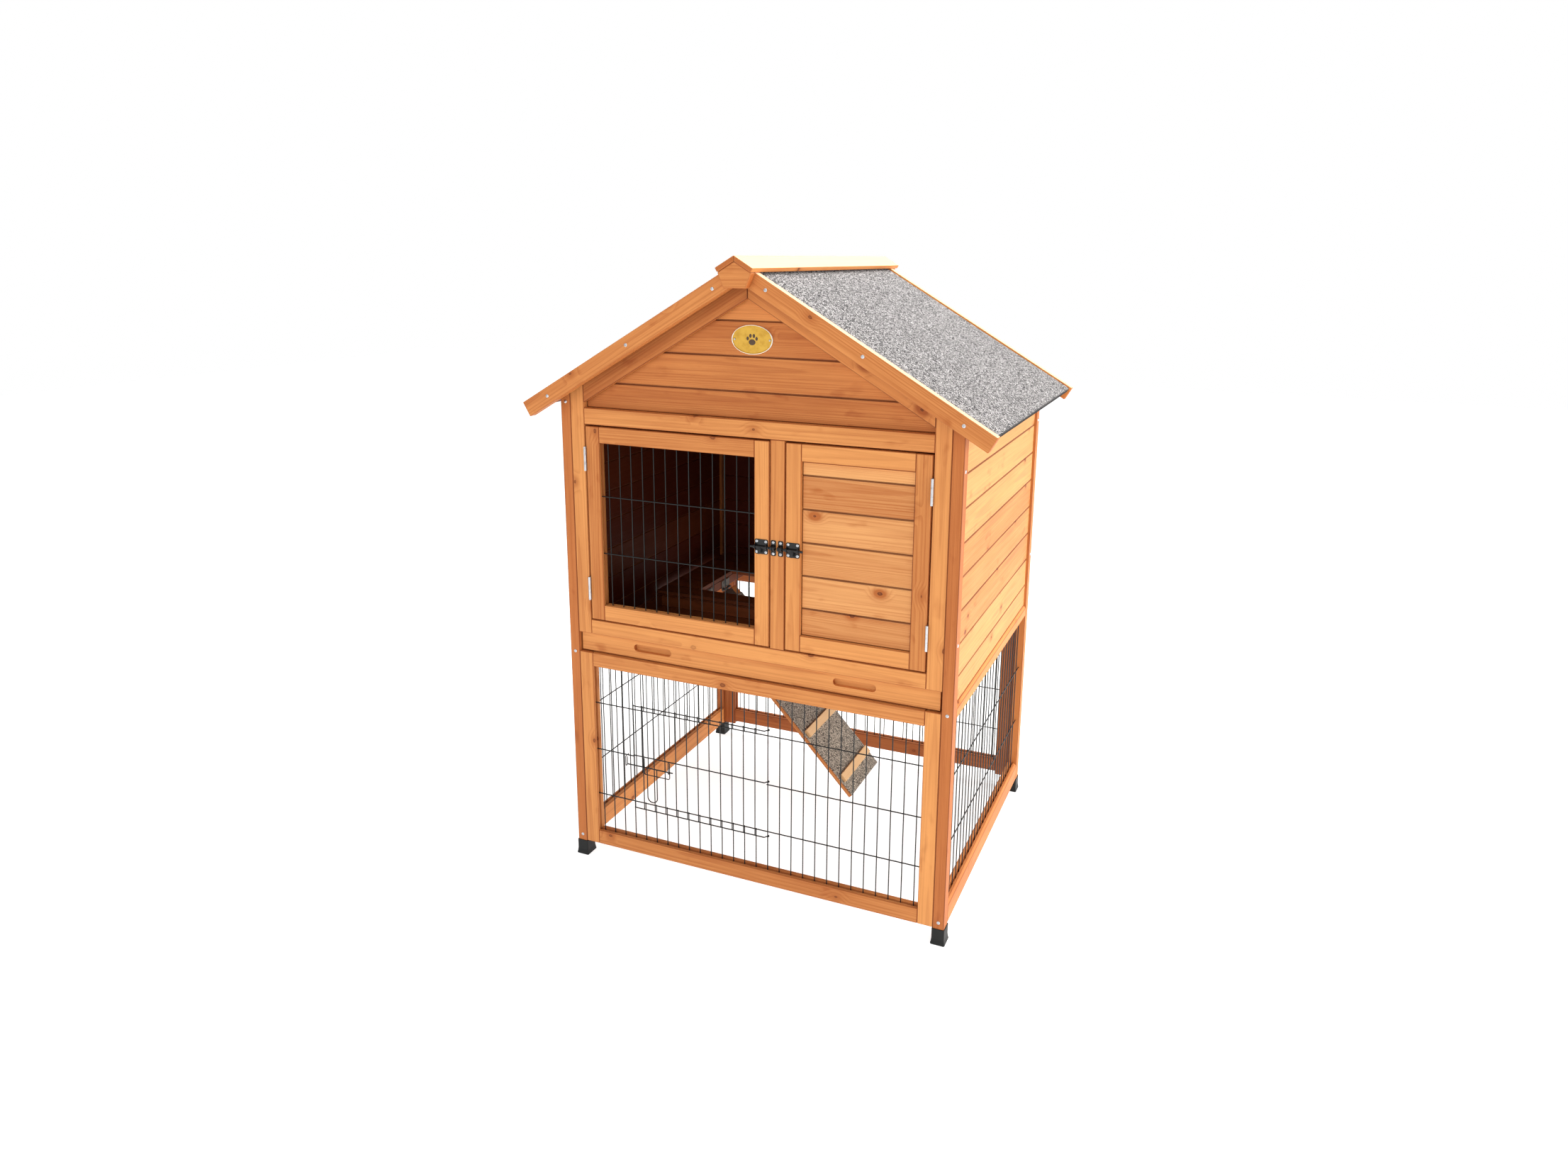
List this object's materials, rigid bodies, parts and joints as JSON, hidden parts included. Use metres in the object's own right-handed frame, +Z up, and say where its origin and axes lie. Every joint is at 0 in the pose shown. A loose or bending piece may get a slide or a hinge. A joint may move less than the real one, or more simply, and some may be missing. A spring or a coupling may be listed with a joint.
{
  "type": "rabbit hutch",
  "caption": "Two-storey wooden rabbit hutch with a gable roof, hinged mesh and boarded doors, pull-out tray, open mesh run, wire door and hinged ramp.",
  "frame": {"origin": "centre of the overall footprint, on the ground under the feet", "axes": "+X to the right as seen from the front, +Y to the back, +Z up; the doors face -Y"},
  "size_m": [0.938, 0.81, 1.2649],
  "materials": {
    "stained_wood": "orange-brown stained fir, satin",
    "pale_wood": "planed, unstained",
    "roofing_felt": "mineral grit on bitumen felt, matt",
    "black_wire": "powder-coated wire, semi-gloss",
    "black_ironwork": "black coated steel, semi-gloss",
    "zinc": "bright zinc plate",
    "black_plastic": "moulded, satin",
    "gilt_badge": "gilt, satin"
  },
  "bodies": {
    "frame": {"front_posts": "stained_wood", "rear_posts": "stained_wood", "foot_caps": "black_plastic", "front_stiles": "stained_wood", "front_rails": "stained_wood", "front_mullion": "stained_wood", "gable_boards": "stained_wood", "gable_trims": "stained_wood", "left_wall_boards": "stained_wood", "right_wall_boards": "stained_wood", "side_rails": "stained_wood", "side_run_meshes": "black_wire", "back_wall_boards": "stained_wood", "back_frame": "stained_wood", "back_run_mesh": "black_wire", "run_front_frame": "stained_wood", "run_front_mesh": "black_wire", "floor_boards": "stained_wood", "floor_joists": "stained_wood", "tray_runners": "stained_wood", "left_roof_panel": "stained_wood", "right_roof_panel": "stained_wood", "left_roof_felt": "roofing_felt", "right_roof_felt": "roofing_felt", "front_bargeboards": "stained_wood", "rear_bargeboards": "stained_wood", "ridge_blocks": "stained_wood", "ridge_cap_boards": "stained_wood", "roof_bearers": "stained_wood", "plaque": "gilt_badge", "plaque_screws": "zinc", "bargeboard_screws": "zinc", "post_screws": "zinc", "frame_hinge_halves": "zinc", "hinge_pins": "zinc", "bolt_keepers": "black_ironwork", "keeper_screws": "zinc", "ramp_hinge_fixed": "zinc"},
    "left_door": {"left_door_frame": "stained_wood", "left_door_mesh": "black_wire", "left_door_hinge_halves": "zinc", "left_bolt_housing": "black_ironwork", "left_bolt_screws": "zinc"},
    "left_bolt_rod": {"left_bolt": "black_ironwork"},
    "right_door": {"right_door_frame": "stained_wood", "right_door_boards": "stained_wood", "right_door_hinge_halves": "zinc", "right_bolt_housing": "black_ironwork", "right_bolt_screws": "zinc"},
    "right_bolt_rod": {"right_bolt": "black_ironwork"},
    "tray": {"tray_front": "stained_wood", "tray_floor": "stained_wood", "tray_walls": "stained_wood"},
    "ramp": {"ramp_board": "stained_wood", "ramp_felt": "roofing_felt", "ramp_cleats": "pale_wood", "ramp_hinge_moving": "zinc"},
    "run_door": {"wire_door": "black_wire"},
    "run_door_slide": {"wire_door_latch": "black_wire"}
  },
  "joints": [
    {"name": "left_door_hinge", "type": "hinge", "parent": "frame", "child": "left_door", "pos_m": [-0.35225, -0.3529, 0.739], "axis": [0, 0, -1], "range_deg": [0, 170]},
    {"name": "right_door_hinge", "type": "hinge", "parent": "frame", "child": "right_door", "pos_m": [0.35225, -0.3529, 0.739], "axis": [0, 0, 1], "range_deg": [0, 170]},
    {"name": "left_bolt_slide", "type": "slide", "parent": "left_door", "child": "left_bolt_rod", "axis": [1, 0, 0], "range_m": [-0.006, 0.009]},
    {"name": "right_bolt_slide", "type": "slide", "parent": "right_door", "child": "right_bolt_rod", "axis": [-1, 0, 0], "range_m": [-0.006, 0.009]},
    {"name": "tray_slide", "type": "slide", "parent": "frame", "child": "tray", "axis": [0, -1, 0], "range_m": [0, 0.28]},
    {"name": "ramp_hinge", "type": "hinge", "parent": "frame", "child": "ramp", "pos_m": [-0.2915, 0.09, 0.472], "axis": [0, -1, 0], "range_deg": [0, 44]},
    {"name": "wire_door_hinge", "type": "hinge", "parent": "frame", "child": "run_door", "pos_m": [0.0381, -0.341, 0.252], "axis": [0, 0, 1], "range_deg": [0, 130]},
    {"name": "wire_door_slide", "type": "slide", "parent": "run_door", "child": "run_door_slide", "axis": [1, 0, 0], "range_m": [-0.006, 0.022]}
  ]
}
